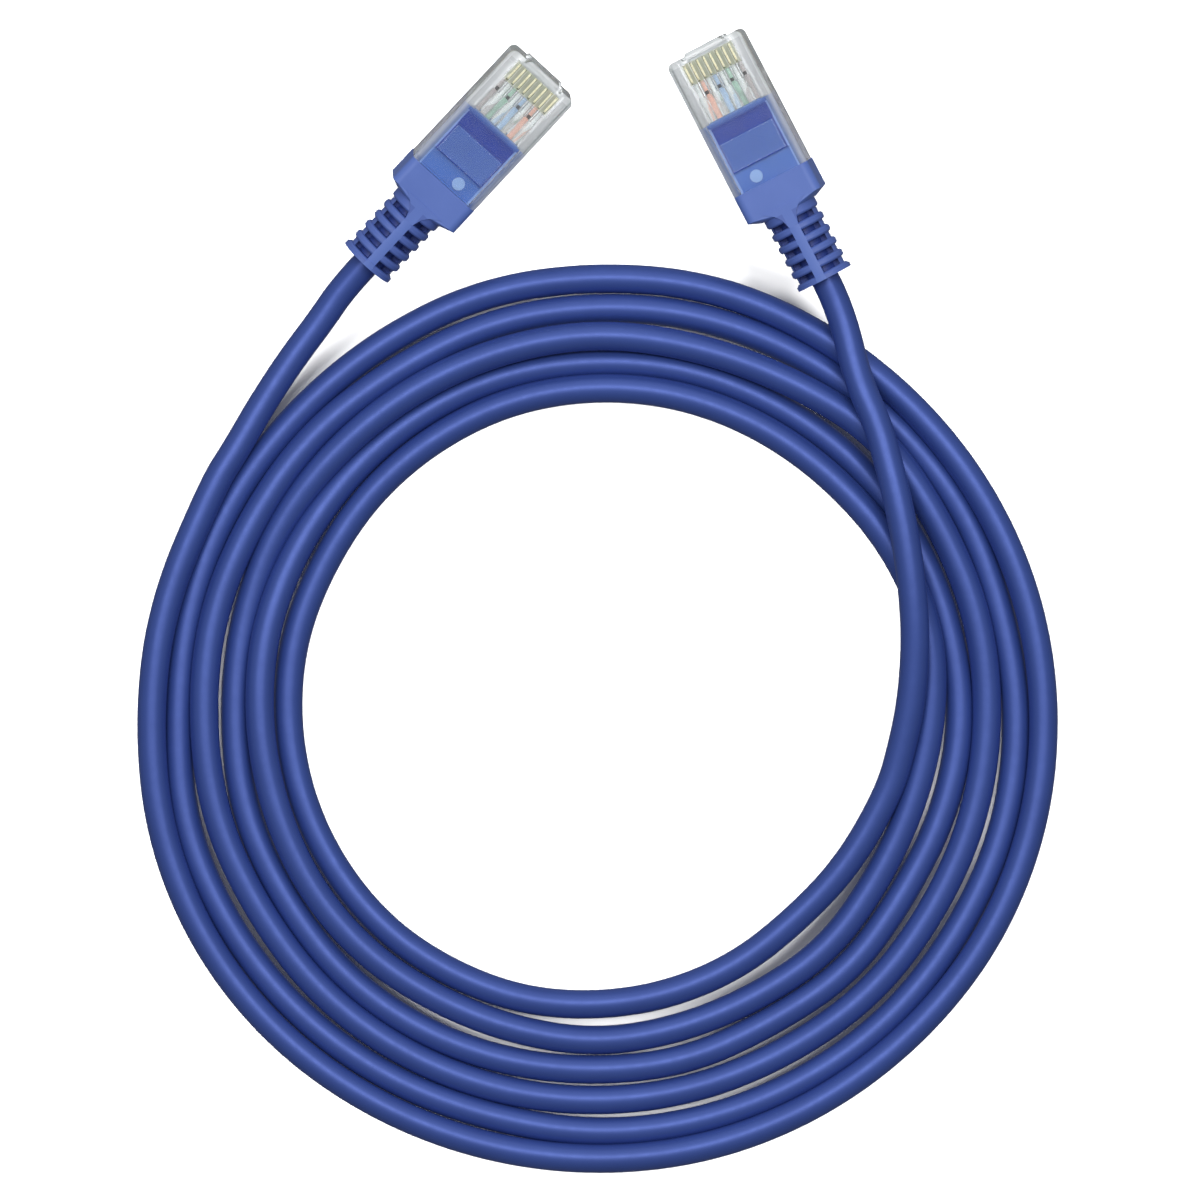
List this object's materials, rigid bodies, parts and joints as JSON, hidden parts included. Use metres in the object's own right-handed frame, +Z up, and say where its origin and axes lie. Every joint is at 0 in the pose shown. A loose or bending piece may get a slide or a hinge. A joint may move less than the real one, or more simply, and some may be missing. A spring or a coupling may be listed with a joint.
{
  "type": "ethernet patch cable",
  "caption": "Round jacketed network patch cable lying in a flat coil, with a clear modular plug, sprung latch and slotted moulded boot at each end.",
  "frame": {"origin": "on the surface that the cable lies on, at the middle of the two plugs' plan box (the coil's centre is 79.6 mm away along -Y)", "axes": "+Z up from the surface, +Y from the coil towards the plugs, +X from plug a towards plug b"},
  "size_m": [0.1311, 0.1632, 0.0131],
  "materials": {
    "clear_plastic": "clear polycarbonate, glossy",
    "gold_contact": "gold plated, polished",
    "copper": "bare stranded copper, satin",
    "blue_jacket": "smooth PVC, satin",
    "blue_mould": "moulded plastic, satin",
    "blue_boot": "moulded soft PVC, satin",
    "white_orange_insulation": "white with orange tracer",
    "orange_insulation": "orange",
    "white_green_insulation": "white with green tracer",
    "blue_insulation": "blue",
    "white_blue_insulation": "white with blue tracer",
    "green_insulation": "green",
    "white_brown_insulation": "white with brown tracer",
    "brown_insulation": "brown"
  },
  "bodies": {
    "cable": {"plug_housing_a": "clear_plastic", "strain_relief_a": "clear_plastic", "contacts_a": "gold_contact", "conductors_a": "copper", "jacket_end_a": "blue_jacket", "inner_mould_a": "blue_mould", "boot_a": "blue_boot", "wire_white_orange_a": "white_orange_insulation", "wire_orange_a": "orange_insulation", "wire_white_green_a": "white_green_insulation", "wire_blue_a": "blue_insulation", "wire_white_blue_a": "white_blue_insulation", "wire_green_a": "green_insulation", "wire_white_brown_a": "white_brown_insulation", "wire_brown_a": "brown_insulation", "plug_housing_b": "clear_plastic", "strain_relief_b": "clear_plastic", "contacts_b": "gold_contact", "conductors_b": "copper", "jacket_end_b": "blue_jacket", "inner_mould_b": "blue_mould", "boot_b": "blue_boot", "wire_white_orange_b": "white_orange_insulation", "wire_orange_b": "orange_insulation", "wire_white_green_b": "white_green_insulation", "wire_blue_b": "blue_insulation", "wire_white_blue_b": "white_blue_insulation", "wire_green_b": "green_insulation", "wire_white_brown_b": "white_brown_insulation", "wire_brown_b": "brown_insulation", "cable_coil": "blue_jacket", "cable_tail_a": "blue_jacket", "cable_tail_b": "blue_jacket"},
    "latch_a": {"latch_a": "clear_plastic"},
    "latch_b": {"latch_b": "clear_plastic"}
  },
  "joints": [
    {"name": "latch_a_press", "type": "hinge", "parent": "cable", "child": "latch_a", "pos_m": [-0.00847, 0.01207, 0.00601], "axis": [-0.7324, 0.6629, 0.1552], "range_deg": [0, 11], "stiffness_Nm_per_rad": 0.2, "springref_deg": -1.72},
    {"name": "latch_b_press", "type": "hinge", "parent": "cable", "child": "latch_b", "pos_m": [0.0161, 0.0154, 0.00495], "axis": [-0.8791, -0.4503, -0.1563], "range_deg": [0, 11], "stiffness_Nm_per_rad": 0.2, "springref_deg": -1.72}
  ]
}
